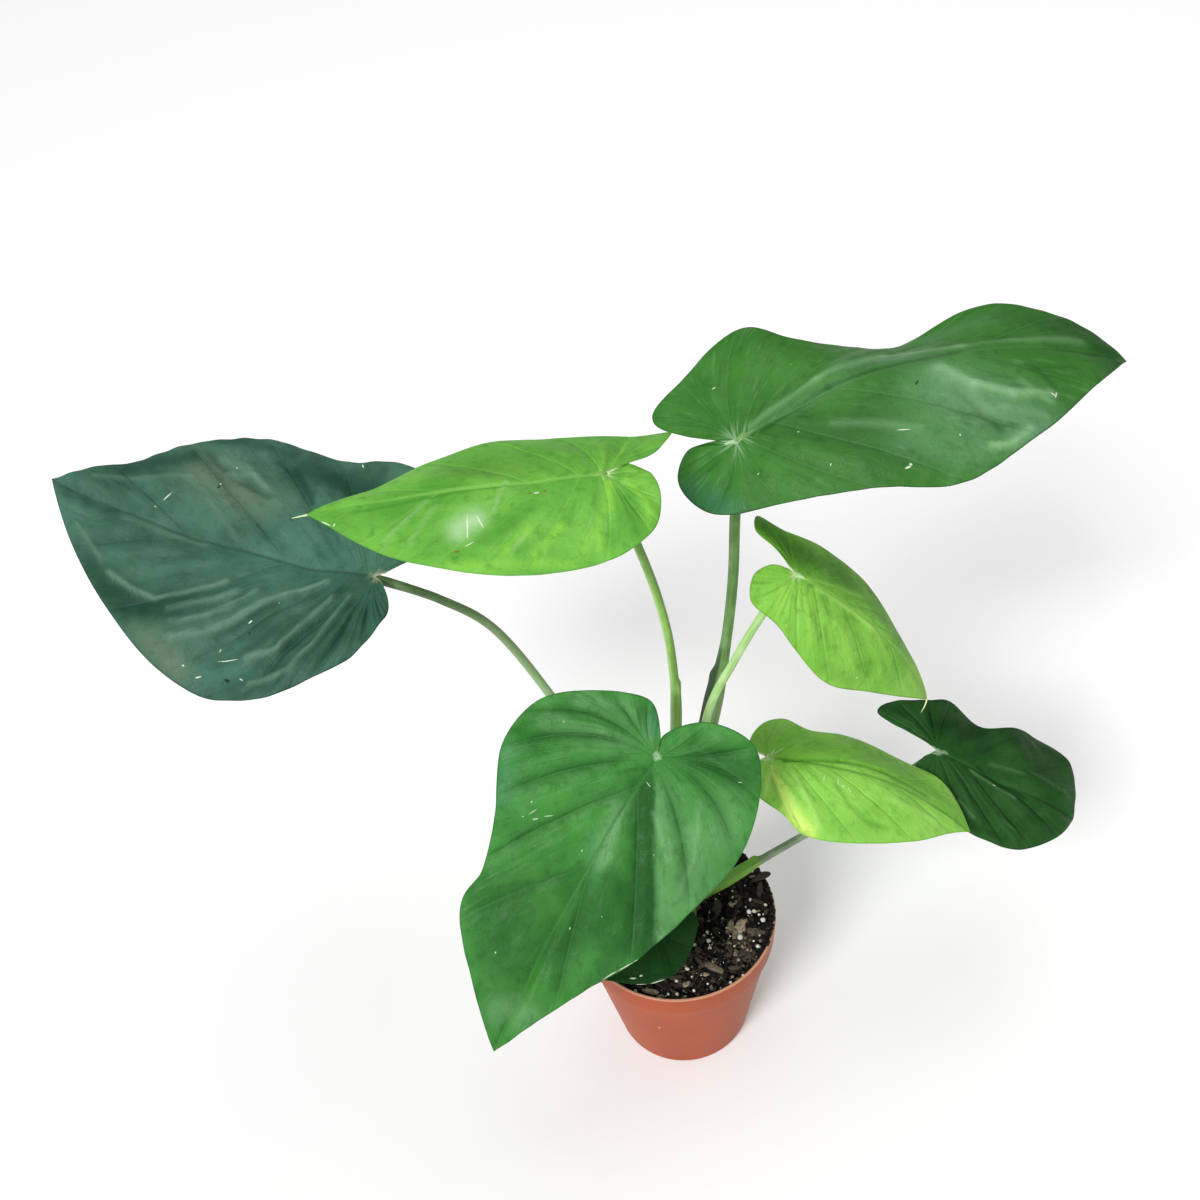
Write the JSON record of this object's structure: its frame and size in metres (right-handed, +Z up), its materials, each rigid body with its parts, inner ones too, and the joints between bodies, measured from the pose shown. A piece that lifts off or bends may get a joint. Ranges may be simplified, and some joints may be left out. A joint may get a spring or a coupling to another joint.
{
  "type": "potted syngonium chiapense",
  "caption": "Syngonium chiapense house plant with large heart-shaped leaves on long arching stalks, growing in a terracotta-coloured plastic nursery pot of potting mix.",
  "frame": {"origin": "centre of the pot base, on the surface it stands on", "axes": "+Z up, +X to the right and +Y to the back as seen from the front, where the largest hanging leaf is"},
  "size_m": [0.5644, 0.2528, 0.4326],
  "materials": {
    "terracotta_plastic": "satin",
    "potting_mix": "matte",
    "stem_green": "satin",
    "leaf_dark_blue_green": "satin",
    "leaf_bright_green": "satin",
    "leaf_mid_green": "gloss",
    "leaf_light_green": "satin",
    "leaf_deep_green": "gloss",
    "leaf_yellow_green": "satin",
    "leaf_dark_green": "satin",
    "leaf_shaded_green": "satin",
    "stalk_grey_green": "satin",
    "stalk_yellow_green": "satin",
    "stalk_green": "satin",
    "stalk_pale_green": "satin"
  },
  "bodies": {
    "root": {"pot": "terracotta_plastic", "soil": "potting_mix", "stem": "stem_green", "stalk_left": "stalk_grey_green", "blade_left": "leaf_dark_blue_green", "stalk_middle": "stalk_yellow_green", "blade_middle": "leaf_bright_green", "stalk_upper_right": "stalk_green", "blade_upper_right": "leaf_mid_green", "stalk_mid_right": "stalk_pale_green", "blade_mid_right": "leaf_light_green", "stalk_front": "stalk_yellow_green", "blade_front": "leaf_deep_green", "stalk_lower_right": "stalk_yellow_green", "blade_lower_right": "leaf_yellow_green", "stalk_far_right": "stalk_grey_green", "blade_far_right": "leaf_dark_green", "stalk_low": "stalk_green", "blade_low": "leaf_shaded_green"}
  },
  "joints": []
}
